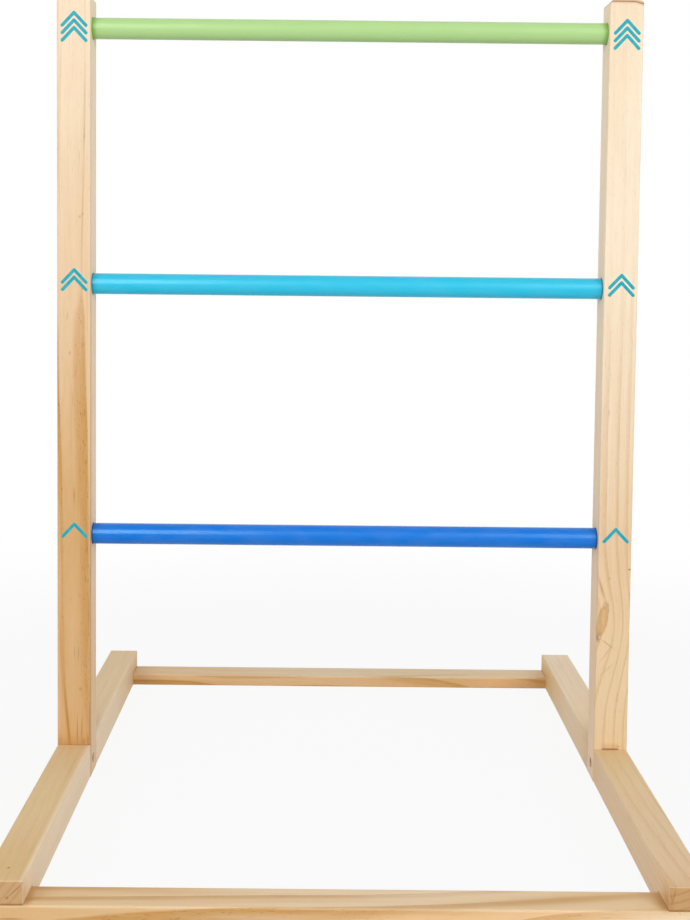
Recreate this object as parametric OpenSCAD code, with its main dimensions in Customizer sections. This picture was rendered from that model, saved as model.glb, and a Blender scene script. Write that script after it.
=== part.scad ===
// Ladder golf target: a free-standing wooden frame with three painted rungs.
// X runs along the rungs, -Y is the throwing side, +Z is up. The origin is on the floor
// under the middle of the base. Each right-hand piece is drawn at +X and mirrored for the left.

/* [Frame] */
// Clear width between the two posts
gap_w = 600; // [300:5:900]
// Length of the base, front to back
base_l = 730; // [400:5:1000]
// Width of the posts and the side rails, across the frame
stock_w = 39; // [36:0.5:60]
// Depth of a post, front to back
post_d = 39; // [34:0.5:60]
// Height of a side rail
rail_h = 39; // [34:0.5:60]
// Rounding of the long edges of posts and side rails
edge_r = 1.2; // [0.4:0.1:2.5]
// Rounding of a post's top corners, seen from the front
top_side_r = 5; // [1:0.5:10]
// Rounding of a post's top edges, seen from the side
top_front_r = 3; // [1:0.5:10]

/* [Crossbars] */
// Width of a crossbar, front to back
bar_w = 39; // [30:0.5:60]
// Height of a crossbar
bar_h = 16; // [13:0.5:22]
// Rounding of a crossbar's long edges
bar_r = 2; // [0.4:0.1:3.5]
// Clearance between a crossbar and the end of its notch in the side rail
notch_gap = 0.2; // [0.1:0.05:0.6]

/* [Rungs] */
// Diameter of a rung
rung_d = 24.6; // [18:0.2:30]
// Height of the bottom rung's centre above the floor
rung_first_z = 290; // [120:1:450]
// Distance between the centres of neighbouring rungs
rung_pitch = 298; // [150:1:450]
// Height of the post above the top rung's centre
head_h = 36; // [26:1:120]
// Depth of the blind bore that a rung's end sits in
seat_depth = 15; // [8:0.5:24]
// Clearance round a rung in its bore, on the radius
seat_gap = 0.4; // [0.2:0.05:0.8]
// Clearance between a rung's end and the floor of its bore
end_gap = 0.4; // [0.2:0.05:0.8]
// Bevel on a rung's ends
rung_bevel = 1.2; // [0.4:0.1:3]
// Bevel round the mouth of each rung bore
rim_bevel = 0.6; // [0.2:0.1:1.5]

/* [Foot joint] */
// Thickness of the tongue that stands in the side rail
tongue_t = 19.5; // [17:0.5:22]
// Clearance beside the tongue, at its front and at its back
lap_gap = 0.2; // [0.1:0.05:0.5]
// Height of the foot bolt's centre above the floor
bolt_z = 17; // [12:0.5:24]
// Diameter of the foot bolt's shank
bolt_d = 6; // [5:0.5:7]
// Length of the foot bolt, under its head
bolt_l = 25; // [21:0.5:27]
// Diameter of the foot bolt's head
bolt_head_d = 10; // [9:0.25:10.5]
// Height of the foot bolt's head
bolt_head_h = 6; // [4:0.25:6.5]
// Width across the flats of the key socket in the bolt's head
key_w = 5; // [3:0.25:6]
// Depth of the key socket
key_depth = 3; // [1.5:0.25:3.5]
// Distance from the post's inner face down to the bolt's head
bolt_sink = 1; // [0.2:0.1:2]
// Outer diameter of the washer under the bolt's head
washer_d = 11; // [10.5:0.25:14]
// Thickness of the washer
washer_t = 1.6; // [0.8:0.1:2.2]
// Clearance round the washer in its counterbore, on the radius
washer_gap = 0.3; // [0.2:0.05:0.6]
// Clearance round the bolt's shank in wood and washer, on the radius
bolt_gap = 0.3; // [0.2:0.05:0.6]

/* [Insert nut] */
// Outer diameter of the insert nut's body
insert_d = 9.5; // [8.5:0.25:10.5]
// Length of the insert nut
insert_l = 13; // [9:0.5:15]
// Diameter of the insert nut's flange
flange_d = 12; // [11:0.25:16]
// Thickness of the insert nut's flange
flange_t = 1.5; // [1:0.1:2.5]
// Clearance round the insert nut and at the screws, on the radius
nut_gap = 0.1; // [0.05:0.05:0.3]
// Clearance between the bolt and the insert nut's bore, on the radius
thread_gap = 0.1; // [0.05:0.05:0.3]
// Clearance past the end of a bolt, insert nut or screw
tip_gap = 1; // [0.5:0.1:2]

/* [Corner screws] */
// Length of a corner screw
screw_l = 32; // [26:0.5:34]
// Diameter of a corner screw's shank
screw_d = 4; // [3:0.25:5]
// Diameter of a corner screw's countersunk head
screw_head_d = 8; // [7:0.25:10]
// Height of the rim on a corner screw's head
screw_rim_h = 0.4; // [0.2:0.1:1]
// Length of a corner screw's point
screw_point_l = 5; // [3:0.5:8]
// Distance from the floor up to a corner screw's head
screw_sink = 0.5; // [0.2:0.1:2]
// Distance from the middle of a corner to each screw, across and along
screw_off = 8.5; // [5:0.5:10]
// Width of the slots of the cross recess in a screw's head
cross_w = 1; // [0.6:0.1:1.4]
// Length of the slots of the cross recess
cross_l = 4.4; // [3:0.2:5.5]
// Depth of the cross recess
cross_depth = 1.6; // [0.8:0.1:2]

/* [Hidden] */

$fn = 96;
cut = 1;                 // how far a cutting shape reaches past the face that it cuts

// Places across the frame
inner_x = gap_w / 2;
outer_x = inner_x + stock_w;
post_x = inner_x + stock_w / 2;
lap_x = inner_x + tongue_t;

// Heights
rung_z = [for (i = [0:2]) rung_first_z + i * rung_pitch];
post_h = rung_z[2] + head_h;

// Places along the base
base_y = base_l / 2;
bar_y = base_y - bar_w / 2;

// Rungs and their bores
rung_l = gap_w + 2 * (seat_depth - end_gap);
bore_d = rung_d + 2 * seat_gap;

// Places along the foot bolt's axis
head_x = inner_x + bolt_sink;
head_seat_x = head_x + bolt_head_h;
washer_seat_x = head_seat_x + washer_t;
bolt_tip_x = head_seat_x + bolt_l;
bolt_hole_d = bolt_d + 2 * bolt_gap;
counterbore_d = washer_d + 2 * washer_gap;
insert_bore_d = bolt_d + 2 * thread_gap;
bolt_bevel = 0.6;        // bevel on the rim of the bolt's head and on its tip

pine = [0.90, 0.76, 0.55];
pine_dark = [0.86, 0.68, 0.44];
green_paint = [0.66, 0.85, 0.50];
sky_paint = [0.24, 0.76, 0.88];
blue_paint = [0.16, 0.45, 0.84];
zinc = [0.72, 0.73, 0.74];
bronzed = [0.40, 0.27, 0.17];

// A rectangle about the origin with rounded corners
module rounded_rect(w, h, r) {
    square([w - 2 * r, h], center = true);
    square([w, h - 2 * r], center = true);
    for (sx = [-1, 1], sy = [-1, 1])
        translate([sx * (w / 2 - r), sy * (h / 2 - r)])
            circle(r);
}

// A bar about the origin, with its own rounding for the edges that run along X, Y and Z
module eased_bar(size, r) {
    intersection() {
        rotate([90, 0, 90])
            linear_extrude(size.x + 2 * cut, center = true)
                rounded_rect(size.y, size.z, r.x);
        rotate([90, 0, 0])
            linear_extrude(size.y + 2 * cut, center = true)
                rounded_rect(size.x, size.z, r.y);
        linear_extrude(size.z + 2 * cut, center = true)
            rounded_rect(size.x, size.y, r.z);
    }
}

// A cylinder along +X that starts at x and ends at x + l
module rod_x(x, l, d) {
    translate([x, 0, 0])
        rotate([0, 90, 0])
            cylinder(h = l, d = d);
}

// Draws its children at +X for the right side, mirrored for the left side
module on_side(side) {
    if (side > 0)
        children();
    else
        mirror([1, 0, 0])
            children();
}

// Puts its children at the two screws of the corner at +X on the given end of the base
module at_corner_screws(end) {
    for (s = [-1, 1])
        translate([post_x + s * screw_off, end * (bar_y + s * screw_off), 0])
            children();
}

// A countersunk wood screw, point up, head at height z; grow widens it into its own hole
module screw_form(z, grow = 0, tip = 0) {
    head_r = screw_head_d / 2 + grow;
    shank_r = screw_d / 2 + grow;
    rim_z = screw_rim_h;
    neck_z = rim_z + head_r - shank_r;
    foot_z = grow > 0 ? -screw_sink - cut : 0;
    translate([0, 0, z])
        rotate_extrude()
            polygon([
                [0, foot_z], [head_r, foot_z], [head_r, rim_z], [shank_r, neck_z],
                [shank_r, screw_l - screw_point_l + tip], [0, screw_l + tip]
            ]);
}

// The four wood screw holes at one end of the base
module corner_screw_holes(end) {
    for (side = [-1, 1])
        on_side(side)
            at_corner_screws(end)
                screw_form(screw_sink, nut_gap, tip_gap);
}

// A rung's blind bore, open towards the middle of the frame, with its bevelled mouth
module rung_bore() {
    rod_x(inner_x - cut, seat_depth + cut, bore_d);
    translate([inner_x - cut, 0, 0])
        rotate([0, 90, 0])
            cylinder(h = rim_bevel + cut, d1 = bore_d + 2 * (rim_bevel + cut), d2 = bore_d);
}

// A square post: three blind bores, a round-shouldered top, and a tongue at the foot
module post(side) {
    color(pine)
        on_side(side)
            difference() {
                post_blank();
                for (z = rung_z)
                    translate([0, 0, z])
                        rung_bore();
                foot_lap_cut();
                translate([0, 0, bolt_z]) {
                    rod_x(inner_x - cut, washer_seat_x - inner_x + cut, counterbore_d);
                    rod_x(inner_x, tongue_t + cut, bolt_hole_d);
                }
            }
}

// The post's square stock, cut off flat at the floor
module post_blank() {
    spare = 2 * max(top_side_r, top_front_r);
    intersection() {
        translate([post_x, 0, (post_h - spare) / 2])
            eased_bar([stock_w, post_d, post_h + spare], [top_front_r, top_side_r, edge_r]);
        translate([inner_x - cut, -post_d / 2 - cut, 0])
            cube([stock_w + 2 * cut, post_d + 2 * cut, post_h + cut]);
    }
}

// What comes off the post's outer half, so that its shoulder sits on the side rail
module foot_lap_cut() {
    translate([lap_x, -post_d / 2 - cut, -cut])
        cube([stock_w - tongue_t + cut, post_d + 2 * cut, rail_h + cut]);
}

// A side rail: a dado for the post's tongue, a notch over each crossbar, and its holes
module side_rail(side) {
    color(pine)
        on_side(side)
            difference() {
                translate([post_x, 0, rail_h / 2])
                    eased_bar([stock_w, base_l, rail_h], [edge_r, edge_r, edge_r]);
                translate([inner_x - cut, -post_d / 2 - lap_gap, -cut])
                    cube([tongue_t + cut, post_d + 2 * lap_gap, rail_h + 2 * cut]);
                for (end = [-1, 1]) {
                    translate([0, end * bar_y, 0])
                        bar_notch();
                    at_corner_screws(end)
                        screw_form(screw_sink, nut_gap, tip_gap);
                }
                translate([0, 0, bolt_z])
                    insert_hole();
            }
}

// The notch that a crossbar lies in, open at the end of the rail
module bar_notch() {
    translate([inner_x - cut, -bar_w / 2 - notch_gap, -cut])
        cube([stock_w + 2 * cut, bar_w + 2 * notch_gap, bar_h + cut]);
}

// The stepped hole in the dado's floor that takes the insert nut and the bolt's tip
module insert_hole() {
    rod_x(lap_x - cut, flange_t + nut_gap + cut, flange_d + 2 * nut_gap);
    rod_x(lap_x - cut, nut_gap + insert_l + tip_gap + cut, insert_d + 2 * nut_gap);
    rod_x(lap_x - cut, bolt_tip_x - lap_x + tip_gap + cut, bolt_hole_d);
}

// A flat crossbar under both side rails, with a countersunk hole for each corner screw
module crossbar(end) {
    color(pine_dark)
        difference() {
            translate([0, end * bar_y, bar_h / 2])
                eased_bar([2 * outer_x, bar_w, bar_h], [bar_r, edge_r, edge_r]);
            corner_screw_holes(end);
        }
}

// A painted rung, loose in its two bores
module rung(i, paint) {
    color(paint)
        translate([-rung_l / 2, 0, rung_z[i]])
            rotate([0, 90, 0])
                rotate_extrude()
                    polygon([
                        [0, 0], [rung_d / 2 - rung_bevel, 0], [rung_d / 2, rung_bevel],
                        [rung_d / 2, rung_l - rung_bevel], [rung_d / 2 - rung_bevel, rung_l],
                        [0, rung_l]
                    ]);
}

// A socket-head bolt that pulls the tongue into the side rail
module foot_bolt(side) {
    color(bronzed)
        on_side(side)
            translate([head_x, 0, bolt_z])
                rotate([0, 90, 0])
                    difference() {
                        rotate_extrude()
                            polygon([
                                [0, 0], [bolt_head_d / 2 - bolt_bevel, 0], [bolt_head_d / 2, bolt_bevel],
                                [bolt_head_d / 2, bolt_head_h], [bolt_d / 2, bolt_head_h],
                                [bolt_d / 2, bolt_head_h + bolt_l - bolt_bevel],
                                [bolt_d / 2 - bolt_bevel, bolt_head_h + bolt_l], [0, bolt_head_h + bolt_l]
                            ]);
                        translate([0, 0, -cut])
                            cylinder(h = key_depth + cut, d = key_w / cos(30), $fn = 6);
                    }
}

// The washer at the bottom of the counterbore
module foot_washer(side) {
    color(zinc)
        on_side(side)
            translate([0, 0, bolt_z])
                difference() {
                    rod_x(head_seat_x, washer_t, washer_d);
                    rod_x(head_seat_x - cut, washer_t + 2 * cut, bolt_hole_d);
                }
}

// The flanged insert nut, let into the dado's floor
module insert_nut(side) {
    color(zinc)
        on_side(side)
            translate([0, 0, bolt_z])
                difference() {
                    union() {
                        rod_x(lap_x + nut_gap, flange_t, flange_d);
                        rod_x(lap_x + nut_gap, insert_l, insert_d);
                    }
                    rod_x(lap_x, insert_l + cut, insert_bore_d);
                }
}

// The two wood screws that hold one corner together, driven from below
module corner_screws(side, end) {
    color(zinc)
        on_side(side)
            at_corner_screws(end)
                difference() {
                    screw_form(screw_sink);
                    for (turn = [0, 90])
                        translate([0, 0, screw_sink])
                            rotate([0, 0, turn])
                                cube([cross_l, cross_w, 2 * cross_depth], center = true);
                }
}

post(-1);  // post_left
post(1);  // post_right
side_rail(-1);  // side_rail_left
side_rail(1);  // side_rail_right
crossbar(-1);  // crossbar_front
crossbar(1);  // crossbar_rear
rung(2, green_paint);  // rung_top
rung(1, sky_paint);  // rung_middle
rung(0, blue_paint);  // rung_bottom
foot_bolt(-1);  // foot_bolt_left
foot_bolt(1);  // foot_bolt_right
foot_washer(-1);  // foot_washer_left
foot_washer(1);  // foot_washer_right
insert_nut(-1);  // insert_nut_left
insert_nut(1);  // insert_nut_right
corner_screws(-1, -1);  // corner_screws_front_left
corner_screws(1, -1);  // corner_screws_front_right
corner_screws(-1, 1);  // corner_screws_rear_left
corner_screws(1, 1);  // corner_screws_rear_right
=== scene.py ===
"""Finishes for the parts of a wooden ladder toss target: pine, paint, print and metal."""

import math

import bpy
from bpy.props import FloatProperty, FloatVectorProperty, IntProperty, PointerProperty
from mathutils import Matrix, Vector


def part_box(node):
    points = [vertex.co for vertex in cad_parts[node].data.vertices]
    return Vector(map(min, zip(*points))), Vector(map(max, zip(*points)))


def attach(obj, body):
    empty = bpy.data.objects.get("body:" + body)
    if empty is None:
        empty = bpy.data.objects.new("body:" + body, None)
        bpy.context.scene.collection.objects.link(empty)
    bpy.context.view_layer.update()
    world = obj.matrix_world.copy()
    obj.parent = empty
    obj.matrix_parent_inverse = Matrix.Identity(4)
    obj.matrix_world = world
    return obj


bl_info = {
    "name": "Ladder Toss Target",
    "version": (1, 0, 0),
    "blender": (4, 5, 0),
    "location": "3D View > Sidebar > Ladder Toss",
    "description": "Pine, paint, print and metal finishes for a wooden ladder toss target",
    "category": "Object",
}

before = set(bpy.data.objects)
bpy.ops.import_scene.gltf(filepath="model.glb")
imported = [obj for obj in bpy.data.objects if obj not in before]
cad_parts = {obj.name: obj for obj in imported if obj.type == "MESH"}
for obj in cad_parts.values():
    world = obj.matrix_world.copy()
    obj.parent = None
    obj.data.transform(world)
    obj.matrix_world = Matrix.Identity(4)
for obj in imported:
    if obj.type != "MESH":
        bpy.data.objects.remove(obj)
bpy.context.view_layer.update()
MM = 0.001


def rgb(red, green, blue):
    """A colour as it is seen, 0 to 255, as the linear values that Blender works with."""
    seen = [c / 255 for c in (red, green, blue)]
    return [c / 12.92 if c <= 0.04045 else ((c + 0.055) / 1.055) ** 2.4 for c in seen]


def middle(node):
    """The middle of a CAD node's box, in metres."""
    low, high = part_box(node)
    return (low + high) / 2


def add(name, data):
    """A new object in the scene."""
    made = bpy.data.objects.new(name, data)
    bpy.context.scene.collection.objects.link(made)
    return made


# ---- settings


def colour(name, text, default):
    return FloatVectorProperty(name=name, description=text, default=default, subtype="COLOR",
                               size=3, min=0, max=1)


def length(name, text, default, low=0.0, high=1.0):
    return FloatProperty(name=name, description=text, default=default, min=low, max=high,
                         subtype="DISTANCE", unit="LENGTH", precision=5)


def watts(name, text, default):
    return FloatProperty(name=name, description=text, default=default, min=0, unit="POWER")


def light_level(name, text, default):
    return FloatProperty(name=name, description=text, default=default, min=0, max=2)


class PineSettings(bpy.types.PropertyGroup):
    pale: colour("Pale wood", "Earlywood of the palest boards", rgb(251, 233, 205))
    tan: colour("Tan wood", "Earlywood of the darker boards", rgb(224, 181, 127))
    honey: colour("Honey wood", "Latewood, the dark side of a growth ring", rgb(203, 150, 78))
    straw: colour("Straw wood", "Yellow cast that some boards have", rgb(240, 214, 136))
    amber: colour("Amber wood", "Reddish cast that some boards have", rgb(250, 186, 112))
    blush: colour("Blush wood", "Pinkish clouds in the earlywood", rgb(244, 203, 168))
    brown: colour("Brown wood", "Fibres, pores and end grain", rgb(140, 84, 42))
    rust: colour("Rust wood", "Resin streaks and small marks", rgb(142, 72, 16))
    rind: colour("Knot outline", "Bark round the knot", rgb(168, 104, 52))
    # Painted shadow: the shade that falls in the line where two boards meet.
    joint: colour("Joint line", "Shade in the line where two boards meet", rgb(118, 52, 10))
    # Painted shadow: the shade in the gap under the right post's foot.
    cleft: colour("Foot gap", "Shade in the gap at the right post's foot", rgb(138, 86, 38))
    relief: length("Grain relief", "Depth of the grain that is felt on the surface",
                   0.12 * MM, 0, 0.001)


class PaintSettings(bpy.types.PropertyGroup):
    green: colour("Top rung", "Paint of the top rung", rgb(181, 220, 145))
    sky: colour("Middle rung", "Paint of the middle rung", rgb(46, 199, 235))
    blue: colour("Bottom rung", "Paint of the bottom rung", rgb(0, 118, 223))
    # Painted shadow on each rung near the posts, where it goes into the holes.
    grip: length("Rubbed length", "How far from each post the paint is rubbed by the hole's rim",
                 2.4 * MM, 0, 0.02)


class PrintSettings(bpy.types.PropertyGroup):
    ink: colour("Ink", "Colour of the score marks", rgb(14, 172, 188))
    half_width: length("Half width", "From the peak to an arm's end, sideways", 13.7 * MM)
    arm_height: length("Arm height", "From the peak down to an arm's end", 14.6 * MM)
    pitch: length("Pitch", "From one mark down to the next", 8.6 * MM)
    stroke: length("Stroke", "Width of the printed line", 3.9 * MM)
    film: length("Film", "How proud of the wood the ink stands", 0.05 * MM)
    sideways: length("Sideways", "How far right of a post's middle it is printed", 0.6 * MM)
    top_rise: length("Top rise", "From the top rung's axis up to the highest peak", 14.6 * MM)
    middle_rise: length("Middle rise", "The same beside the middle rung", 16.2 * MM)
    bottom_rise: length("Bottom rise", "The same beside the bottom rung", 14.6 * MM)
    top_fall: length("Top fall", "How much lower the top marks are on the right post", 2.3 * MM)
    top_marks: IntProperty(name="Top marks", description="Marks beside the top rung", default=3,
                           min=1, max=5)


class StageSettings(bpy.types.PropertyGroup):
    focal: length("Focal length", "Lens, on a frame 36 mm on its long side", 51.264 * MM)
    eye: FloatVectorProperty(name="Eye", description="Where the camera stands, in metres",
                             default=(-0.02277, -1.55007, 0.61175), subtype="TRANSLATION",
                             size=3)
    floor: colour("Floor", "Colour of the floor", (0.66, 0.66, 0.66))
    key_power: watts("Soft boxes", "Power of each of the two soft boxes", 25.9)
    left_sheen: watts("Left sheen", "Power of the tall light that shows only as a sheen", 53.0)
    right_sheen: watts("Right sheen", "Power of its fellow on the right", 28.0)
    sky_level: light_level("Room light", "Level of the light from all round", 0.75)
    ceiling: light_level("Ceiling light", "Level of the light from above", 0.52)


# ---- shader nodes


class Value:
    """A number that a shader works out. Arithmetic on it adds Math nodes."""

    def __init__(self, finish, socket):
        self.finish, self.socket = finish, socket

    def math(self, operation, *others):
        return self.finish.node("ShaderNodeMath", dict(enumerate([self, *others])),
                                operation=operation)

    def after(self, first, operation):
        """The same with the other number first, so that 1 - mask works."""
        return self.finish.node("ShaderNodeMath", {0: first, 1: self}, operation=operation)

    def __add__(self, other):
        return self.math("ADD", other)

    __radd__ = __add__

    def __mul__(self, other):
        return self.math("MULTIPLY", other)

    __rmul__ = __mul__

    def __sub__(self, other):
        return self.math("SUBTRACT", other)

    def __rsub__(self, other):
        return self.after(other, "SUBTRACT")

    def __truediv__(self, other):
        return self.math("DIVIDE", other)

    def __rtruediv__(self, other):
        return self.after(other, "DIVIDE")

    def __pow__(self, power):
        return self.math("POWER", power)

    def __rpow__(self, base):
        return self.after(base, "POWER")

    def smooth(self, low, high, top=1.0):
        """0 below low and top above high, with a soft step between."""
        return self.finish.node("ShaderNodeMapRange", {"Value": self, "From Min": low,
                                                       "From Max": high, "To Max": top},
                                interpolation_type="SMOOTHSTEP")

    def bell(self, half):
        """1 at 0, falling away to both sides: about a third at half."""
        return ((self / half) ** 2 * -1).math("EXPONENT")


class Shading:
    """A tree of shader nodes, with one method that adds any node to it."""

    def __init__(self, tree):
        self.tree = tree
        self.tree.nodes.clear()

    def put(self, socket, value):
        if isinstance(value, Value):
            self.tree.links.new(value.socket, socket)
        elif socket.type == "RGBA":
            socket.default_value = [*list(value)[:3], 1.0]
        else:
            socket.default_value = value

    def new(self, kind, sockets=None, **settings):
        """Adds one node: its settings first, then the values and links of its sockets."""
        node = self.tree.nodes.new(kind)
        for key, value in settings.items():
            if key == "points":
                line = node.mapping.curves[0]
                while len(line.points) < len(value):
                    line.points.new(0.5, 0.5)
                for point, place in zip(line.points, value):
                    point.location = place
                node.mapping.update()
            else:
                setattr(node, key, value)
        for key, value in (sockets or {}).items():
            if isinstance(key, int):
                self.put(node.inputs[key], value)
            else:
                self.put(next(s for s in node.inputs if s.enabled and s.name == key), value)
        return node

    def node(self, kind, sockets=None, out=None, **settings):
        """Adds one node and gives its first output, or the one that out says."""
        node = self.new(kind, sockets, **settings)
        shown = [s for s in node.outputs if s.enabled]
        return Value(self, node.outputs[out] if out is not None else shown[0])

    def seen_directly(self):
        """1 for what the camera, a reflection or clear material sees, 0 for light on a piece."""
        path = self.new("ShaderNodeLightPath")
        rays = [Value(self, path.outputs[name])
                for name in ("Is Camera Ray", "Is Glossy Ray", "Is Transmission Ray")]
        return rays[0].math("MAXIMUM", rays[1]).math("MAXIMUM", rays[2])


class Finish(Shading):
    """A material under construction."""

    def __init__(self, name):
        self.material = bpy.data.materials.new(name)
        self.material.use_nodes = True
        super().__init__(self.material.node_tree)
        self.shader = self.new("ShaderNodeBsdfPrincipled")
        self.output = self.new("ShaderNodeOutputMaterial",
                               {"Surface": Value(self, self.shader.outputs[0])})
        at = self.node("ShaderNodeTexCoord", out="Object")
        at = self.node("ShaderNodeVectorMath", {"Vector": at, "Scale": 1000.0},
                       operation="SCALE")
        # Where the shaded point is on the piece at rest, in millimetres.
        self.place = [self.node("ShaderNodeSeparateXYZ", {"Vector": at}, out=i)
                      for i in range(3)]

    def set(self, name, value):
        self.put(self.shader.inputs[name], value)

    def facing(self, axis):
        """How squarely the surface faces along an axis of the piece, 0 to 1."""
        normal = self.node("ShaderNodeTexCoord", out="Normal")
        return self.node("ShaderNodeSeparateXYZ", {"Vector": normal}, out=axis).math("ABSOLUTE")

    def noise(self, x, y, z, detail=2.0):
        """Smooth noise from 0 to 1 at the place x, y, z, one feature to a unit."""
        at = self.node("ShaderNodeCombineXYZ", {"X": x, "Y": y, "Z": z})
        return self.node("ShaderNodeTexNoise",
                         {"Vector": at, "Scale": 1.0, "Detail": detail, "Roughness": 0.5})

    def mix(self, share, first, second):
        return self.node("ShaderNodeMix", {"Factor": share, "A": first, "B": second},
                         data_type="RGBA")

    def curve(self, value, points, low, high):
        """A smooth line through (value, result) points, with results from low to high."""
        start, end = points[0][0], points[-1][0]
        placed = [((at - start) / (end - start), (to - low) / (high - low)) for at, to in points]
        share = self.node("ShaderNodeFloatCurve", {"Value": (value - start) / (end - start)},
                          points=placed)
        return share * (high - low) + low

    def bump(self, height, depth, strength):
        self.set("Normal", self.node("ShaderNodeBump", {
            "Strength": strength, "Distance": depth, "Height": height}))


# ---- pine

# The noises that run along every board: the size of a feature across and along the grain, in
# mm, how finely it is broken up, and a shift that keeps the noises apart.
PATTERNS = {
    "wander": (45, 240, 2, 0), "ripple": (9, 70, 2, 7), "bark": (4, 6, 2, 3),
    "mottle": (3.2, 30, 3, 23), "fibre": (0.8, 38, 3, 11), "streak": (3.5, 190, 3, 5),
    "cloud": (30, 160, 2, 2), "flush": (16, 60, 2, 31), "pores": (0.8, 7, 1, 19),
}


def front(across, along, wide, tall, strength, shade="rust", lean=0):
    """A mark on the front of a post, in the form that BOARDS has for marks."""
    face, deep = -19.5, 3
    return (across, face, along), (wide, deep, tall), strength, shade, lean
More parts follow.
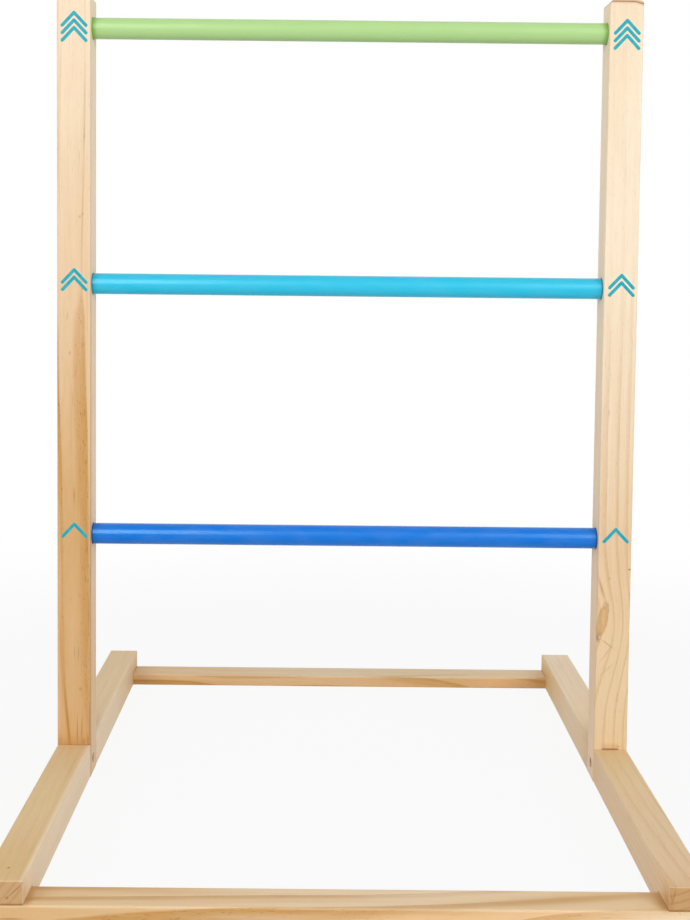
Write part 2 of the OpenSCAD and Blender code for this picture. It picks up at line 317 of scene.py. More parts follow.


# Each board is a piece of a log, and grain is the axis that it runs along. Its growth rings run
# round a pith, given across and through the board from its middle. ring is how wide a ring is,
# phase where the first one begins and wander how unevenly they run. Lengths are in mm.
# late_left is how much later the dark latewood starts towards the left, band how much of it is
# flat, late_soft how softly that starts and blush how pink the clouds are. fade says in which
# direction and from where to where the wood changes, and far_rings how much of the rings shows
# beyond. seam is the height of the painted shadow line where the board meets another,
# its strength and how far from the middle it starts, gap where a painted shadow runs in the
# gap under the foot, and cap how dark the top's edge is: painted shade of the rounded edge,
# partly the end grain's own darker colour.
# The lists go along the board, as (place, value): drift is how far the rings shift across it,
# late where in a ring the latewood starts and depth how dark it is, tone is the board's own
# shade, 0 pale and 1 tan, and gold, straw and amber are shares of honey, straw and amber. The
# far_ ones are the same beyond the fade.
# A knot has its place, half sizes and lean, how far it bows the grain, and where that is. Each
# mark has its place across, through and along, its half sizes, its strength, its shade and, if
# it isn't straight, how far it leans across per mm along and per mm through.
BOARDS = {
    "post_left": dict(
        grain=2, pith=(-38, 95), ring=9.9, phase=0.19, wander=1.6, late_left=0.52, late_soft=0.3,
        band=0.6, blush=0.2, fade=("through", -18.5, -9), far_rings=0.3, seam=(39, 0.5, 18.8),
        drift=[(0, 17), (52, 11), (82, 8), (122, 5), (182, 3), (262, 2.5), (342, 1.5), (422, 0),
               (482, -2), (542, -3), (602, -5.5), (662, -5.5), (722, -3), (922, -2)],
        late=[(0, 0.44), (300, 0.4), (350, 0.33), (380, 0.31), (500, 0.3), (535, 0.36),
              (575, 0.66), (620, 0.86), (922, 0.88)],
        depth=[(0, 1), (90, 0.92), (322, 1.06), (470, 0.9), (560, 0.6), (600, 0.36), (922, 0.32)],
        tone=[(0, 0.95), (82, 0.93), (162, 0.92), (242, 0.98), (322, 0.98), (382, 0.88),
              (472, 0.76), (552, 0.68), (642, 0.54), (722, 0.46), (802, 0.34), (922, 0.24)],
        far_tone=[(0, 0.52), (122, 0.58), (222, 0.36), (342, 0.1), (422, 0), (522, 0), (642, 0),
                  (922, 0)],
        gold=[(0, 0.3), (82, 0.26), (162, 0.22), (322, 0.27), (472, 0.12), (600, 0), (922, 0)],
        marks=[
            front(0.5, 339, 0.7, 9, 0.5), front(-1.2, 452, 0.7, 8, 0.22),
            front(5.5, 150, 0.8, 8, 0.34, lean=0.05), front(0.7, 152, 0.6, 7, 0.3),
            front(7.5, 107, 1.3, 2, 0.35), front(4.1, 54, 0.65, 17, 0.62),
            front(9.4, 58, 0.65, 17, 0.55, lean=0.02), front(11.5, 43, 1.6, 3.6, 0.45),
            front(16.6, 45, 1, 5.5, 0.5), front(-16, 45, 1.5, 4, 0.3),
            front(19, 62, 1.2, 34, 0.35), front(-7.3, 550, 1.2, 5, 0.22, lean=0.1),
            front(-4.5, 507, 1.3, 2, 0.3), front(7.2, 666, 1.4, 1.6, 0.36),
            front(10.3, 669, 1.2, 1.8, 0.3), front(6.7, 737, 0.7, 5, 0.2),
            front(12.6, 759, 0.8, 1.8, 0.3), front(14.2, 378, 0.9, 2.6, 0.5),
            front(12.8, 437, 0.7, 4, 0.4), front(17.3, 255, 0.9, 1.6, 0.4),
            front(17, 237, 0.8, 3, 0.4), front(11, 517, 0.9, 2, 0.3),
            front(12.7, 795, 0.8, 48, 0.28, lean=0.02), front(12.3, 758, 0.7, 14, 0.26, lean=0.02),
            front(10.4, 668, 0.8, 55, 0.25, lean=0.02), front(-15, 835, 0.8, 36, 0.16, lean=0.02),
            front(-18.4, 490, 1, 48, 0.3), front(-16.8, 436, 0.6, 13, 0.35),
            front(18.5, 380, 2.2, 330, 0.2, "pale"), front(-17.3, 745, 1.6, 70, 0.3, "honey"),
            front(-17.5, 80, 2, 34, 0.3, "blush"), front(-2.5, 440, 2.5, 70, 0.22, "honey"),
            front(2.5, 290, 2.8, 60, 0.2, "honey"),
            front(-8, 72, 2, 62, 0.85, "honey", lean=-0.096),
            front(-7, 64, 1, 34, 0.3, lean=-0.096),
            # front(0, 39, ...) here and below: painted shade at the foot, where the post stands on
            # the rail.
            front(-15, 160, 1.1, 40, 0.7, "honey", lean=-0.03), front(0, 39, 40, 12, 0.5, "honey"),
            front(0, 39, 40, 11, 0.14, "brown"), front(15.8, 277, 1.2, 14, 0.26),
            front(17.2, 198, 1, 24, 0.28)]),
    "post_right": dict(
        grain=2, pith=(-60, 80), ring=6.7, phase=0.42, wander=0.9, late_soft=0.3, band=0.42,
        blush=0.14, fade=("through", -18.5, -9), far_rings=0.6, seam=(39, 0.3, 18.8),
        gap=(309.5, 329), cap=0.85,
        drift=[(0, -10), (72, -10), (112, -8.5), (162, -7), (202, -5), (242, -2.5), (302, 0),
               (400, 0), (600, 1), (922, -3)],
        late=[(0, 0.55), (240, 0.62), (300, 0.5), (470, 0.45), (922, 0.5)],
        depth=[(0, 0.3), (200, 0.34), (240, 0.38), (300, 0.32), (440, 0.3), (560, 0.1),
               (922, 0.06)],
        tone=[(0, 0.5), (72, 0.46), (162, 0.52), (242, 0.62), (322, 0.48), (382, 0.34),
              (472, 0.22), (552, 0.14), (642, 0), (722, 0.02), (832, 0.1), (922, 0.2)],
        far_tone=[(0, 0.3), (122, 0.4), (222, 0.36), (342, 0.2), (522, 0.14), (922, 0)],
        gold=[(0, 0.12), (72, 0.08), (160, 0.03), (250, 0), (922, 0)],
        straw=[(0, 0.16), (160, 0.12), (280, 0.02), (922, 0)],
        knot=dict(at=(-13.3, -19.5, 195), half=(6.1, 9, 22), lean=0.17, bow=22,
                  bow_at=(-16.5, -19.5, 186), bow_half=(46, 34, 58)),
        marks=[
            front(18.3, 257, 1.9, 0.9, 0.85), front(-10.5, 443, 1.2, 4.5, 0.22),
            front(-5.5, 246, 0.9, 1.4, 0.35), front(-15, 234, 1.9, 14, 0.5, "honey", lean=-0.3),
            front(-14, 233, 0.8, 12, 0.32, lean=-0.32), front(-17.6, 175, 2, 4.6, 0.75),
            front(-16.6, 175.5, 0.9, 2.4, 0.65, "pale"),
            front(-6.5, 167.5, 1.2, 5, 0.4, lean=-1.27), front(9.2, 43.5, 3, 0.8, 0.3),
            front(-8.3, 155, 1.1, 9, 0.4, "honey", lean=0.69),
            front(-6, 137, 1.1, 7, 0.35, "honey", lean=0.95)]),
    "side_rail_left": dict(
        grain=1, pith=(-78, 78), ring=8.3, phase=0.1, wander=2, late_soft=0.4, band=0.4,
        blush=0.08, fade=("across", 14, 19), far_rings=0.6, seam=(16.4, 0.85, 326),
        drift=[(-365, 3), (-150, 1), (0, 0), (365, -4)],
        late=[(0, 0.5)], depth=[(0, 0.08)],
        tone=[(-365, 0.48), (-245, 0.34), (-145, 0.25), (0, 0.17), (200, 0.33), (365, 0.36)],
        far_tone=[(-365, 0.16), (150, 0.16), (240, 0.44), (365, 0.46)],
        gold=[(-365, 0.24), (-340, 0.38), (-200, 0.3), (0, 0.4), (200, 0.22), (365, 0.22)],
        straw=[(-365, 0.1), (-345, 0.4), (-245, 0.32), (-100, 0.36), (0, 0.3), (100, 0.16),
               (365, 0.16)],
        far_straw=[(-365, 0.1), (150, 0.1), (365, 0.2)],
        marks=[
            # The next two are painted: shade and the crossbars' reflected orange light near each
            # end.
            ((19.5, -4, 345), (4, 14, 45), 0.45, "honey"),
            ((19.5, 4, -364), (4, 16, 16), 0.42, "honey"),
            ((-0.3, 19.5, -338), (1.1, 3, 2), 0.8, "rust", 0.1),
            ((12, 10.5, -365), (0.7, 7.5, 3), 0.95, "rust", 0, 1.07),
            ((4.6, 3.6, -365), (1.2, 1.2, 3), 0.9, "rust"),
            ((10.5, 19.5, -85), (1.6, 3, 45), 0.1, "rust")]),
    "side_rail_right": dict(
        grain=1, pith=(-44, 86), ring=7.4, phase=0.55, wander=2.2, late_soft=0.35, band=0.35,
        blush=0.12, fade=("across", -19.2, -16.5), far_rings=1.2, seam=(16.4, 0.85, 326),
        drift=[(-365, 12), (-235, 1), (-135, -3), (0, -4), (365, -6)],
        late=[(0, 0.55)],
        depth=[(-365, 0.22), (-120, 0.16), (0, 0.08), (365, 0.08)],
        tone=[(-365, 0.5), (-115, 0.42), (150, 0.45), (190, 0.54), (255, 0.62), (365, 0.66)],
        far_tone=[(-365, 0.42), (-245, 0.37), (-145, 0.26), (-60, 0.04), (0, 0.16), (200, 0.23),
                  (365, 0.08)],
        gold=[(-365, 0.2), (-150, 0.17), (-65, 0.2), (0, 0.34), (60, 0.1), (200, 0), (365, 0)],
        far_gold=[(-365, 0.42), (-340, 0.22), (-150, 0.2), (-80, 0.29), (0, 0.35), (60, 0.1),
                  (200, 0), (365, 0)],
        straw=[(-365, 0), (150, 0), (255, 0.22), (365, 0.3)],
        far_straw=[(-365, 0.04), (-245, 0.08), (-145, 0.22), (-65, 0.38), (0, 0.32), (200, 0.05),
                   (365, 0)],
        marks=[
            # The next three are painted: shade and the crossbars' reflected orange light near each
            # end.
            ((-19.5, -2, 335), (4, 14, 45), 0.45, "honey"),
            ((-19.5, 2, -361), (4, 16, 17), 0.6, "honey"),
            ((-19.5, 2, -360), (4, 12, 15), 0.2, "brown"),
            ((-14.6, 12, -365), (0.55, 6.5, 3), 0.75, "rust", 0, 0.215),
            ((-17, 9, -365), (0.45, 4, 3), 0.5, "rust", 0, -0.3)]),
    "crossbar_front": dict(
        grain=0, pith=(-55.5, -14), ring=21, phase=0.833, wander=1.2, late_soft=0.25, band=0.45,
        blush=0.3, fade=("through", 4.5, 7.9), far_rings=0.7,
        drift=[(-339, -11), (-109, -3), (0, 0), (60, 3.5), (100, 7.1), (200, 20.6), (339, 39.5)],
        late=[(0, 0.52)],
        depth=[(-339, 0.95), (100, 0.95), (180, 0.6), (339, 0.15)],
        tone=[(-339, 0.88), (-200, 0.74), (0, 0.46), (200, 0.18), (260, 0.05), (339, 0)],
        far_tone=[(-339, 0.45), (-200, 0.34), (0, 0.04), (200, 0.22), (339, 0.3)],
        gold=[(-339, 0.2), (0, 0.12), (200, 0.03), (339, 0)],
        far_gold=[(-339, 0.2), (0, 0.12), (339, 0.1)],
        straw=[(-339, 0.04), (0, 0.12), (200, 0.16), (339, 0)],
        far_straw=[(-339, 0.24), (0, 0.14), (150, 0.16), (339, 0.28)],
        amber=[(-339, 0.1), (-100, 0.14), (0, 0.32), (200, 0.42), (270, 0.2), (339, 0.1)],
        far_amber=[(-339, 0.06), (0, 0.06), (339, 0.12)],
        marks=[
            ((0, 8, 205), (8, 4, 95), 0.6, "honey", 0.14),
            ((13.5, 8, -240), (3, 4, 90), 0.35, "honey"),
            ((9, 8, -170), (3.5, 4, 70), 0.25, "honey"),
            ((-6.5, 8, -60), (3.2, 4, 90), 0.26, "honey", 0.02),
            ((-19.5, -1.5, -80), (5, 3.5, 75), 0.28, "pale"),
            ((-19.5, 5.5, 75), (5, 4, 55), 0.3, "honey"),
            ((10.5, 8, 88), (5, 4, 75), 0.4, "pale", 0.063),
            # The next three are painted shade on the top, where the rails stand on it.
            ((0, 8, -298), (24, 2, 4), 0.7, "honey"),
            ((0, 8, 298), (24, 2, 6), 0.75, "honey"),
            ((4, 8, 299), (14, 2, 3), 0.12, "brown"),
            ((-6, -8, -305), (3, 5, 25), 0.2, "rust"),
            ((-19.5, -5, -312), (3, 0.8, 12), 0.5, "rust")]),
    "crossbar_rear": dict(
        grain=0, pith=(-39.5, -22), ring=14.5, phase=0.31, wander=1.2, late_soft=0.1, band=0.4,
        blush=0.3, fade=("through", 5, 7.9), far_rings=0.15,
        drift=[(-339, 10), (-229, 8), (-219, 7.3), (-174, 1.4), (0, 1.4), (30, 0.5), (111, -5),
               (191, -15.6), (339, -30)],
        late=[(-339, 0.5), (-100, 0.5), (0, 0.76), (339, 0.76)],
        depth=[(-339, 1.2), (-120, 1.1), (0, 0.85), (339, 0.85)],
        tone=[(-339, 0.85), (-100, 0.56), (0, 0.5), (100, 0.72), (339, 0.8)],
        far_tone=[(-339, 0.5), (-219, 0.42), (0, 0.02), (339, 0.1)],
        gold=[(-339, 0.3), (-100, 0.14), (0, 0.12), (100, 0.2), (339, 0.22)],
        far_gold=[(-339, 0.22), (-100, 0.14), (0, 0.12), (100, 0.22), (339, 0.18)],
        straw=[(-339, 0.06), (-100, 0.05), (100, 0.1), (200, 0.02), (339, 0)],
        far_straw=[(-339, 0.16), (0, 0.18), (339, 0.22)],
        amber=[(-339, 0.14), (-100, 0.28), (100, 0.38), (339, 0.24)],
        marks=[
            ((-19.5, -4, -238), (6, 4, 64), 0.5, "honey"),
            ((-19.5, 0, 116), (3, 20, 90), 0.45, "honey", 0.1, 0.69),
            ((-19.5, 4, 296), (6, 12, 14), 0.4, "honey")]),
}


class Board:
    """A board's own directions and the patterns that all its finish is made from."""

    def __init__(self, node, seed):
        self.spec, self.seed = BOARDS[node], seed
        self.finish = Finish("pine " + node.replace("_", " "))
        centre = middle(node) * 1000
        along = self.spec["grain"]
        across, through = [axis for axis in (0, 1, 2) if axis != along]
        place = self.finish.place
        self.across = place[across] - centre[across]
        self.through = place[through] - centre[through]
        self.along = place[along]
        self.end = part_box(node)[1][along] * 1000
        self.sawn = self.finish.facing(along).smooth(0.75, 0.95)
        direction, start, end = self.spec["fade"]
        self.faded = getattr(self, direction).smooth(start, end)

    def pattern(self, name):
        """One of the noises of PATTERNS, drawn out along the grain, from 0 to 1."""
        fine, long, detail, shift = PATTERNS[name]
        return self.finish.noise(self.across / fine + (self.seed + shift), self.through / fine,
                                 self.along / long, detail)

    def line(self, name):
        """The value of one of the board's lists at this place along it."""
        points = self.spec[name]
        if len(points) == 1:
            return points[0][1]
        values, margin = [value for _, value in points], 0.02
        return self.finish.curve(self.along, points, min(values) - margin,
                                 max(values) + margin)

    def share(self, name):
        """The value of a list before the fade and of its far list beyond it, if it has them."""
        near, far = (self.line(key) if key in self.spec else 0.0
                     for key in (name, "far_" + name))
        return (1 - self.faded) * near + self.faded * far

    def left_side(self):
        """1 on the left side of a post's front and 0 on its right side."""
        return 1 - self.across.smooth(-10, 2)

    def offsets(self, at):
        """How far the shaded point is from a place, across, through and along the board."""
        return [value - centre for value, centre in
                zip((self.across, self.through, self.along), at)]

    def radius(self):
        """Distance from the pith, with the board's drift and wander, in mm."""
        pith_across, pith_through = self.spec["pith"]
        wander = (self.pattern("wander") - 0.5) * (2 * self.spec["wander"])
        ripple = (self.pattern("ripple") - 0.5) * 0.9
        across = self.across - self.line("drift") + wander + ripple
        if "knot" in self.spec:
            across = across - self.knot_bow()
        sideways = (across - pith_across) ** 2
        return (sideways + (self.through - pith_through) ** 2).math("SQRT")

    def latewood(self, share, own, mottle):
        """How dark the ring is at its share from 0, its first wood, to 1, its last."""
        latest, dark, last = 0.93, 0.95, 0.955
        start = (own - 0.5) * 0.12 + self.line("late")
        if "late_left" in self.spec:
            start = self.left_side() * self.spec["late_left"] + start
        start = start.math("MINIMUM", latest)
        band = self.spec["band"]
        ragged = (mottle - 0.5) * 0.3 + start
        late = share.smooth(start, dark) * (1 - band)
        late = share.smooth(ragged, ragged + self.spec["late_soft"], band) + late
        return late * (1 - share.smooth(last, 1.0))

    def knot_bow(self):
        """How far the grain is pushed aside by the board's knot, in mm."""
        knot = self.spec["knot"]
        bow = knot["bow"]
        for offset, half in zip(self.offsets(knot["bow_at"]), knot["bow_half"]):
            bow = offset.bell(half) * bow
        return bow

    def knot_distance(self):
        """0 at the middle of the knot and 1 on its outline."""
        knot = self.spec["knot"]
        across, through, along = self.offsets(knot["at"])
        across = across - along * knot["lean"]
        rough = (self.pattern("bark") - 0.5) * 0.3
        total = 0.0
        for offset, half in zip((across, through, along), knot["half"]):
            total = (offset / half) ** 2 + total
        return total.math("SQRT") + rough

    # Each of these gives the layers of one feature, as (how much of a shade, the shade's name).

    def knot(self):
        """The knot's core, the rings in it and the bark round it, darker on the right."""
        away = self.knot_distance()
        core = 1 - away.smooth(0.8, 1.0)
        rings = (away * 2.6).math("FRACT").smooth(0.6, 0.95)
        right_side = (self.across + 9.5).smooth(-4, 3) * 0.42 + 0.14
        return [(core * (away * away * 0.4 + 0.42), "honey"), (rings * core * 0.08, "brown"),
                ((away - 1.0).bell(0.08) * right_side, "rind")]

    def marks(self):
        """The board's small marks, each of them drawn along the grain."""
        layers = []
        for at, half, strength, shade, *lean in self.spec["marks"]:
            across, through, along = self.offsets(at)
            for direction, slope in zip((along, through), lean):
                if slope:
                    across = across - direction * slope
            spot = across.bell(half[0]) * through.bell(half[1]) * along.bell(half[2])
            layers.append((spot * strength, shade))
        return layers

    def cap(self):
        """Painted shade under the board's rounded top edge, partly the end grain's own
        darker colour.
        """
        dark = self.spec["cap"]
        under = self.along - self.end + self.across.smooth(8, 19) * 2.5
        return [(under.smooth(-6.0, -1.5) * dark * 0.6, "honey"),
                ((under + 1.8).bell(0.8) * dark, "brown")]

    def seam(self):
        """Painted shadow in the line where the board meets another."""
        (height, strength, start), soft, half_line = self.spec["seam"], 1, 1.2
        _, y, z = self.finish.place
        near = y.math("ABSOLUTE").smooth(start - soft, start) * (self.sawn * 0.4 + 0.6)
        return [((z - height).bell(half_line) * near * strength, "joint")]

    def gap(self):
        """Painted shadow in the gap between the board's foot and the right rail's top, with a
        soft painted shade just above it.
        """
        (start, end), soft = self.spec["gap"], 2
        x, _, z = self.finish.place
        inside = x.smooth(start - soft, start + soft) * (1 - x.smooth(end - soft, end + soft))
        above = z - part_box("side_rail_right")[1].z * 1000
        return [((above - 5.0).bell(3.2) * inside * 0.35, "honey"),
                ((above - 1.3).bell(1.1) * inside * 0.9, "cleft")]


def pine(node, seed, settings):
    """A planed pine board: growth rings, latewood, fibres, pores, knot, marks and end grain,
    with painted shadow where it meets other boards.
    """
    board = Board(node, seed)
    spec, finish, sawn = board.spec, board.finish, board.sawn
    mottle, fibre, streak, cloud, flush, pores = (board.pattern(name) for name in (
        "mottle", "fibre", "streak", "cloud", "flush", "pores"))
    flush = flush.smooth(0.42, 0.75) * spec["blush"] + board.faded * 0.16
    pores = pores.smooth(0.66, 0.75)

    radius = board.radius()
    turns = radius / spec["ring"] + spec["phase"]
    own = finish.node("ShaderNodeTexWhiteNoise", {"W": turns.math("FLOOR") + seed},
                      noise_dimensions="1D")
    lines = finish.node("ShaderNodeTexNoise", {"W": radius * 1.1 + seed, "Scale": 1.0,
                                               "Detail": 3.0}, noise_dimensions="1D")
    late = board.latewood(turns.math("FRACT"), own, mottle)
    far_rings = board.faded * (spec["far_rings"] - 1) + 1
    depth = (own * 0.2 + 0.85) * board.line("depth") * far_rings
    if "late_left" in spec:
        depth = depth * (board.left_side() * 0.5 + 1)
    grain = late * depth * (mottle * 0.9 + 0.55) + (lines - 0.5) * 0.2 * depth

    tone = board.share("tone") + (cloud - 0.5) * 0.3 + (streak - 0.5) * 0.25
    wood = finish.mix(tone, settings.pale, settings.tan)
    layers = [(flush, "blush")]
    layers += [(board.share(cast), cast) for cast in ("straw", "amber") if cast in spec]
    layers += [(board.share("gold"), "honey"), (grain, "honey"),
               (fibre.smooth(0.5, 0.8) * 0.13, "brown"),
               (pores * (late * depth * 0.7 + 0.12), "brown")]
    for feature in ("knot", "marks", "cap", "seam", "gap"):
        if feature in spec:
            layers += getattr(board, feature)()
    layers += [(sawn * 0.42, "honey"), (sawn * (late * 0.14 + 0.2), "brown")]
    for share, shade in layers:
        wood = finish.mix(share, wood, getattr(settings, shade))
    finish.set("Base Color", wood)
    finish.set("Roughness", fibre * 0.18 + late * -0.06 + sawn * 0.2 + 0.48)
    finish.set("Specular IOR Level", 0.25)
    finish.bump(fibre * 0.7 + late * 0.3 - pores * 0.8, settings.relief, strength=0.5)
    return finish.material


# ---- paint, print and metal


def satin_paint(name, shade, seed, shadowed, deep, sheen, tint):
    """Brushed satin paint on a dowel, with a painted shadow near each post where it goes into
    the hole; deep is how dark that shadow is. sheen is how strong the paint's sheen is and tint
    its colour."""
    finish = Finish(name)
    x, y, z = finish.place
    half_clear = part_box("post_right")[0].x * 1000
    brush = finish.noise(x / 55, y / 0.9 + seed, z / 0.9, detail=3.0)
    cloud = finish.noise(x / 40 + seed, y / 12, z / 12)
    # Painted shadow where the rung goes into a post's hole.
    rim = x.math("ABSOLUTE").smooth(half_clear - shadowed * 1000, half_clear + 0.2)
    light = [c + (1 - c) * 0.06 for c in shade]
    dark = [c * 0.80 for c in shade]
    coat = finish.mix(cloud.smooth(0.3, 0.7) * 0.35, shade, light)
    coat = finish.mix(brush.smooth(0.5, 0.8) * 0.15, coat, dark)
    coat = finish.mix(rim * 0.85, coat, [c ** 2.0 * deep for c in shade])
    finish.set("Base Color", coat)
    finish.set("Roughness", brush * 0.06 + cloud * 0.05 + 0.19)
    finish.set("Specular IOR Level", sheen)
    finish.set("Specular Tint", tint)
    finish.bump(brush, 0.012 * MM, strength=0.5)
    return finish.material


def printed_ink(shade):
    """Screen ink on bare pine: a little uneven, with the grain showing through."""
    finish = Finish("teal print")
    x, y, z = finish.place
    grain = finish.noise(x / 0.9, y / 0.9, z / 26, detail=3.0)
    cloud = finish.noise(x / 7, y / 7, z / 7)
    ink = finish.mix(grain.smooth(0.5, 0.8) * 0.3, shade, [c * 0.72 for c in shade])
    ink = finish.mix(cloud.smooth(0.35, 0.7) * 0.25, ink, [c + (1 - c) * 0.14 for c in shade])
    finish.set("Base Color", ink)
    finish.set("Roughness", grain * 0.15 + 0.5)
    finish.set("Specular IOR Level", 0.14)
    finish.bump(grain, 0.05 * MM, strength=0.4)
    return finish.material


def plated_steel(name, shade, worn, roughness):
    """Plated or bronzed steel, with handling marks and a little wear."""
    finish = Finish(name)
    x, y, z = finish.place
    cloud = finish.noise(x / 3, y / 3, z / 3, detail=3.0)
    scratch = finish.noise(x / 0.4, y / 2.5, z / 0.4)
    metal = finish.mix(cloud.smooth(0.45, 0.75) * 0.6, shade, worn)
    metal = finish.mix(scratch.smooth(0.62, 0.7) * 0.35, metal, worn)
    finish.set("Base Color", metal)
    finish.set("Metallic", 1.0)
    finish.set("Roughness", cloud * 0.2 + scratch * 0.1 + roughness)
    finish.bump(scratch, 0.03 * MM, strength=0.3)
    return finish.material


def dress(node, material):
    """Gives a CAD node its finish, in place of the material it was packed with."""
    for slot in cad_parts[node].material_slots:
        slot.material = material


# ---- geometry nodes


class Shaping:
    """A geometry node tree with named inputs."""

    def __init__(self, name, inputs):
        self.tree = bpy.data.node_groups.new(name, "GeometryNodeTree")
        self.sockets = {}
        for title, (kind, default) in inputs.items():
            made = self.tree.interface.new_socket(title, in_out="INPUT", socket_type=kind)
            if default is not None:
                made.default_value = default
            self.sockets[title] = made.identifier
        self.tree.interface.new_socket("Geometry", in_out="OUTPUT",
                                       socket_type="NodeSocketGeometry")
        self.inputs = self.tree.nodes.new("NodeGroupInput")

    def given(self, title):
        return next(s for s in self.inputs.outputs if s.name == title)

    def node(self, kind, sockets=None, **settings):
        """Adds one node and gives its first output."""
        node = self.tree.nodes.new(kind)
        for key, value in settings.items():
            setattr(node, key, value)
        for key, value in (sockets or {}).items():
            socket = node.inputs[key] if isinstance(key, int) else next(
                s for s in node.inputs if s.enabled and s.name == key)
            for one in value if isinstance(value, list) else [value]:
                if isinstance(one, bpy.types.NodeSocket):
                    self.tree.links.new(one, socket)
                else:
                    socket.default_value = one
        return next(s for s in node.outputs if s.enabled)

    def math(self, operation, first, second=0.0):
        return self.node("ShaderNodeMath", {0: first, 1: second}, operation=operation)

    def point(self, x=0.0, y=0.0, z=0.0):
        return self.node("ShaderNodeCombineXYZ", {"X": x, "Y": y, "Z": z})

    def finish(self, geometry, material):
        """Ends the tree in Realize Instances and Set Material."""
        real = self.node("GeometryNodeRealizeInstances", {"Geometry": geometry})
        last = self.node("GeometryNodeSetMaterial", {"Geometry": real, "Material": material})
        output = self.tree.nodes.new("NodeGroupOutput")
        self.tree.links.new(last, output.inputs[0])
        return self.tree

    def make(self, name, values):
        """Runs the tree with these values and returns a plain mesh object."""
        carrier = add(name + "_shape", bpy.data.meshes.new(name + "_shape"))
        modifier = carrier.modifiers.new(name, "NODES")
        modifier.node_group = self.tree
        for title, value in values.items():
            modifier[self.sockets[title]] = value
        carrier.update_tag()
        shown = carrier.evaluated_get(bpy.context.evaluated_depsgraph_get())
        mesh = bpy.data.meshes.new_from_object(shown)
        carrier.modifiers.remove(modifier)
        bpy.data.objects.remove(carrier)
        if not mesh.polygons:
            raise RuntimeError(f"{name} came out empty")
        return add(name, mesh)


def chevron_tree():
    """Stacks of chevrons on the fronts of both posts, three, two and one beside the rungs."""
    size, count = "NodeSocketFloat", "NodeSocketInt"
    shaping = Shaping("Score marks", {
        "Half width": (size, 0.0137), "Arm height": (size, 0.0146), "Pitch": (size, 0.0086),
        "Stroke": (size, 0.0039), "Film": (size, 0.05 * MM), "Sunk": (size, 0.02 * MM),
        "Post middle": (size, 0.3195), "Sideways": (size, 0.0), "Front": (size, -0.0195),
        "Top peak": (size, 0.9), "Middle peak": (size, 0.6), "Bottom peak": (size, 0.3),
        "Top fall": (size, 0.0), "Middle fall": (size, 0.0), "Bottom fall": (size, 0.0),
        "Top marks": (count, 3), "Middle marks": (count, 2), "Bottom marks": (count, 1),
        "Ink": ("NodeSocketMaterial", None),
    })
    node, given, calc, point = shaping.node, shaping.given, shaping.math, shaping.point
    reach = calc("SQRT", calc("ADD", calc("POWER", given("Half width"), 2.0),
                              calc("POWER", given("Arm height"), 2.0)))
    tilt = calc("ARCTAN2", given("Arm height"), given("Half width"))
    round_end = calc("MULTIPLY", given("Stroke"), 0.5)
    outline = node("GeometryNodeCurvePrimitiveQuadrilateral",
                   {"Width": calc("ADD", reach, given("Stroke")), "Height": given("Stroke")},
                   mode="RECTANGLE")
    outline = node("GeometryNodeFilletCurve",
                   {"Curve": outline, "Radius": calc("MULTIPLY", round_end, 0.999),
                    "Count": 7}, mode="POLY")
    face = node("GeometryNodeFillCurve", {"Curve": outline}, mode="NGONS")
    thick = calc("ADD", given("Film"), given("Sunk"))
    raised = node("GeometryNodeExtrudeMesh",
                  {"Mesh": face, "Offset Scale": thick, "Individual": False}, mode="FACES")
    back = node("GeometryNodeFlipFaces", {"Mesh": face})
    arm = node("GeometryNodeJoinGeometry", {"Geometry": [raised, back]})
    arm = node("GeometryNodeMergeByDistance", {"Geometry": arm, "Distance": 1e-6})
    half_reach = calc("MULTIPLY", given("Half width"), 0.5)
    half_drop = calc("MULTIPLY", given("Arm height"), -0.5)
    arms = []
    for side in (-1.0, 1.0):
        arms.append(node("GeometryNodeTransform", {
            "Geometry": arm,
            "Translation": point(calc("MULTIPLY", half_reach, side), half_drop),
            "Rotation": point(0.0, 0.0, calc("MULTIPLY", tilt, -side))}))
    chevron = node("GeometryNodeMeshBoolean", {1: arms}, operation="UNION", solver="EXACT")
    upright = node("GeometryNodeTransform",
                   {"Geometry": chevron, "Rotation": (math.pi / 2, 0.0, 0.0)})
    stacks = []
    surface = calc("ADD", given("Front"), given("Sunk"))
    drop = point(0.0, 0.0, calc("MULTIPLY", given("Pitch"), -1.0))
    left = point(calc("SUBTRACT", given("Sideways"), given("Post middle")))
    apart = calc("MULTIPLY", given("Post middle"), 2.0)
    for level in ("Top", "Middle", "Bottom"):
        places = node("GeometryNodeMeshLine", {
            "Count": given(level + " marks"), "Offset": drop,
            "Start Location": point(0.0, surface, given(level + " peak"))})
        stack = node("GeometryNodeInstanceOnPoints", {"Points": places, "Instance": upright})
        fall = calc("MULTIPLY", given(level + " fall"), -1.0)
        posts = node("GeometryNodeMeshLine", {
            "Count": 2, "Start Location": left, "Offset": point(apart, 0.0, fall)})
        stacks.append(node("GeometryNodeInstanceOnPoints",
                           {"Points": posts, "Instance": stack}))
    shaping.finish(node("GeometryNodeJoinGeometry", {"Geometry": stacks}), given("Ink"))
    return shaping


# ---- operators


# How far the noises of one board or rung are shifted from those of the next.
BOARD_SHIFT, RUNG_SHIFT = 3.7, 5.0


class LADDERTOSS_OT_timber(bpy.types.Operator):
    """Give the posts, side rails and crossbars their pine"""
    bl_idname = "ladder_toss.timber"
    bl_label = "Posts and base"

    def execute(self, context):
        for seed, node in enumerate(BOARDS):
            dress(node, pine(node, BOARD_SHIFT * seed, context.scene.toss_pine))
        return {"FINISHED"}


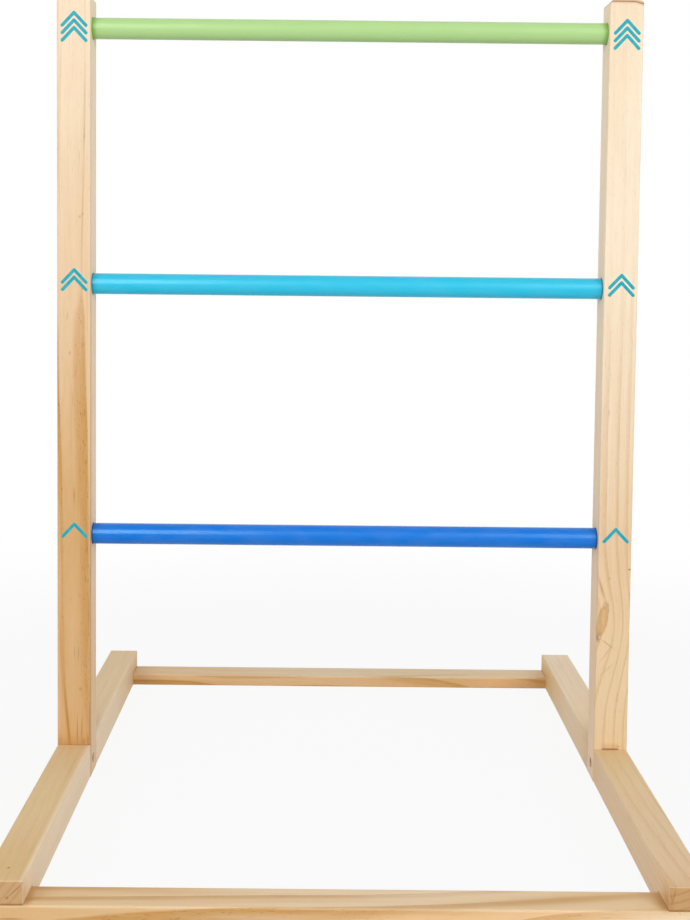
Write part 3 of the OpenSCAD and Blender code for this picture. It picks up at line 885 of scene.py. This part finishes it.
class LADDERTOSS_OT_rungs(bpy.types.Operator):
    """Paint the three rungs"""
    bl_idname = "ladder_toss.rungs"
    bl_label = "Rungs"

    def execute(self, context):
        paint = context.scene.toss_paint
        # Per rung: how far the painted shadow at the holes reaches, how dark it is, the sheen and
        # its tint.
        for seed, (node, shade, shadowed, deep, sheen, tint) in enumerate((
                ("rung_top", paint.green, 3 * paint.grip, 0.95, 0.13, (0.9, 0.94, 0.9)),
                ("rung_middle", paint.sky, paint.grip, 0.5, 0.22, (0.78, 0.9, 0.82)),
                ("rung_bottom", paint.blue, paint.grip, 0.5, 0.34, (0.58, 0.98, 0.84)))):
            name = "satin paint " + node.replace("_", " ")
            dress(node, satin_paint(name, shade, RUNG_SHIFT * seed, shadowed, deep, sheen,
                                    tint))
        return {"FINISHED"}


class LADDERTOSS_OT_fasteners(bpy.types.Operator):
    """Give the bolts, washers, insert nuts and corner screws their metal"""
    bl_idname = "ladder_toss.fasteners"
    bl_label = "Fasteners"

    def execute(self, context):
        bronzed = plated_steel("bronzed steel", shade=(0.34, 0.15, 0.07),
                               worn=(0.46, 0.26, 0.14), roughness=0.38)
        zinc = plated_steel("zinc plate", shade=(0.60, 0.62, 0.64),
                            worn=(0.42, 0.42, 0.40), roughness=0.24)
        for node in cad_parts:
            if node.startswith("foot_bolt"):
                dress(node, bronzed)
            elif node.startswith(("foot_washer", "insert_nut", "corner_screws")):
                dress(node, zinc)
        return {"FINISHED"}


class LADDERTOSS_OT_score_marks(bpy.types.Operator):
    """Print the chevrons on the fronts of the posts"""
    bl_idname = "ladder_toss.score_marks"
    bl_label = "Score marks"

    def execute(self, context):
        mark = context.scene.toss_print
        low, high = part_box("post_right")
        values = {
            "Half width": mark.half_width, "Arm height": mark.arm_height, "Pitch": mark.pitch,
            "Stroke": mark.stroke, "Film": mark.film, "Post middle": (low.x + high.x) / 2,
            "Sideways": mark.sideways, "Front": low.y, "Top fall": mark.top_fall,
            "Ink": printed_ink(mark.ink),
        }
        for fewer, name in enumerate(("top", "middle", "bottom")):
            rise = getattr(mark, name + "_rise")
            values[name.title() + " peak"] = middle("rung_" + name).z + rise
            values[name.title() + " marks"] = max(1, mark.top_marks - fewer)
        piece = chevron_tree().make("score_marks", values)
        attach(piece, "frame")
        return {"FINISHED"}


class LADDERTOSS_OT_stage(bpy.types.Operator):
    """Set the floor, the soft light and the camera"""
    bl_idname = "ladder_toss.stage"
    bl_label = "Stage"

    def execute(self, context):
        settings = context.scene.toss_stage
        self.floor(settings)
        self.room(context.scene, settings)
        self.lights(settings)
        self.camera(context.scene, settings)
        context.scene.view_settings.view_transform = "Standard"
        return {"FINISHED"}

    def floor(self, settings):
        """A pale floor that shows as white and keeps the object's shadow."""
        reach, shadow_seen, near, far = 6.0, 0.1, 700, 1500
        mesh = bpy.data.meshes.new("floor")
        mesh.from_pydata([(-reach, -reach, 0), (reach, -reach, 0), (reach, reach, 0),
                          (-reach, reach, 0)], [], [(0, 1, 2, 3)])
        floor = add("floor", mesh)
        finish = Finish("pale floor")
        finish.set("Base Color", settings.floor)
        finish.set("Roughness", 0.9)
        seen = finish.seen_directly()
        x, y, _ = finish.place
        away = (x * x + y * y).math("SQRT").smooth(near, far)
        share = seen * (away * shadow_seen + (1 - shadow_seen))
        glow = finish.node("ShaderNodeEmission", {"Color": (1, 1, 1), "Strength": 1.0})
        both = finish.node("ShaderNodeMixShader", {
            0: share, 1: Value(finish, finish.shader.outputs[0]), 2: glow})
        finish.put(finish.output.inputs["Surface"], both)
        mesh.materials.append(finish.material)

    def room(self, scene, settings):
        """Even light from all round, and white for what the camera sees past the floor."""
        world = bpy.data.worlds.new("room")
        world.use_nodes = True
        scene.world = world
        shading = Shading(world.node_tree)
        toward = shading.node("ShaderNodeTexCoord", out="Generated")
        height = shading.node("ShaderNodeSeparateXYZ", {"Vector": toward}, out=2)
        dome = height.smooth(0.1, 0.9) * (settings.ceiling - settings.sky_level)
        dome = dome + settings.sky_level
        seen = shading.seen_directly()
        back = shading.node("ShaderNodeBackground",
                            {"Color": (1, 1, 1), "Strength": dome * (1 - seen) + seen})
        shading.new("ShaderNodeOutputWorld", {"Surface": back})

    def lights(self, settings):
        """Two soft boxes, and two tall lights that show only as a sheen."""
        before = -2.3
        boxes = (("left soft box", -1.9, 1.6, 0.6, 1.3, 1.5, settings.key_power),
                 ("right soft box", 1.9, 1.6, 0.6, 1.3, 1.5, settings.key_power),
                 ("left sheen", -0.75, 2.0, 2.0, 0.7, 2.5, settings.left_sheen),
                 ("right sheen", 0.95, 2.0, 2.0, 0.7, 2.5, settings.right_sheen))
        for name, across, height, aim, wide, tall, power in boxes:
            lamp = bpy.data.lights.new(name, "AREA")
            lamp.shape, lamp.size, lamp.size_y = "RECTANGLE", wide, tall
            lamp.energy = power
            light = add(name, lamp)
            light.location = (across, before, height)
            turn = Vector((0, 0, aim)) - light.location
            light.rotation_euler = turn.to_track_quat("-Z", "Y").to_euler()
            light.visible_diffuse = not name.endswith("sheen")

    def camera(self, scene, settings):
        """A camera where the photographer stood; its angles are in radians."""
        yaw, pitch, roll = 0.00216, -0.05652, 0.01048
        ahead = Vector((math.sin(yaw) * math.cos(pitch), math.cos(yaw) * math.cos(pitch),
                        math.sin(pitch)))
        level = Vector((math.cos(yaw), -math.sin(yaw), 0))
        above = level.cross(ahead)
        side = level * math.cos(roll) + above * math.sin(roll)
        upward = above * math.cos(roll) - level * math.sin(roll)
        data = bpy.data.cameras.new("camera")
        data.lens, data.sensor_width = settings.focal * 1000, 36.0
        data.shift_x, data.shift_y = 0.0161, -0.1304
        camera = add("camera", data)
        turn = Matrix((side, upward, -ahead)).transposed().to_4x4()
        camera.matrix_world = Matrix.Translation(settings.eye) @ turn
        scene.camera = camera


class LADDERTOSS_PT_panel(bpy.types.Panel):
    """A box for every step, with its button and its settings"""
    bl_idname = "LADDERTOSS_PT_panel"
    bl_label = "Ladder Toss"
    bl_space_type = "VIEW_3D"
    bl_region_type = "UI"
    bl_category = "Ladder Toss"

    def draw(self, context):
        for operator, group in STEPS:
            box = self.layout.box()
            box.operator(operator.bl_idname)
            settings = getattr(context.scene, group, None)
            if settings is not None:
                for name in settings.bl_rna.properties.keys():
                    if name not in ("rna_type", "name"):
                        box.prop(settings, name)


GROUPS = {"toss_pine": PineSettings, "toss_paint": PaintSettings, "toss_print": PrintSettings,
          "toss_stage": StageSettings}
STEPS = ((LADDERTOSS_OT_timber, "toss_pine"), (LADDERTOSS_OT_rungs, "toss_paint"),
         (LADDERTOSS_OT_fasteners, ""), (LADDERTOSS_OT_score_marks, "toss_print"),
         (LADDERTOSS_OT_stage, "toss_stage"))
CLASSES = [*GROUPS.values(), *(operator for operator, _ in STEPS), LADDERTOSS_PT_panel]


def register():
    for one in CLASSES:
        bpy.utils.register_class(one)
    for name, group in GROUPS.items():
        setattr(bpy.types.Scene, name, PointerProperty(type=group))


def unregister():
    for name in GROUPS:
        delattr(bpy.types.Scene, name)
    for one in reversed(CLASSES):
        bpy.utils.unregister_class(one)


def main():
    register()
    bpy.ops.ladder_toss.timber()
    bpy.ops.ladder_toss.rungs()
    bpy.ops.ladder_toss.fasteners()
    bpy.ops.ladder_toss.score_marks()
    bpy.ops.ladder_toss.stage()


if __name__ == "__main__":
    main()
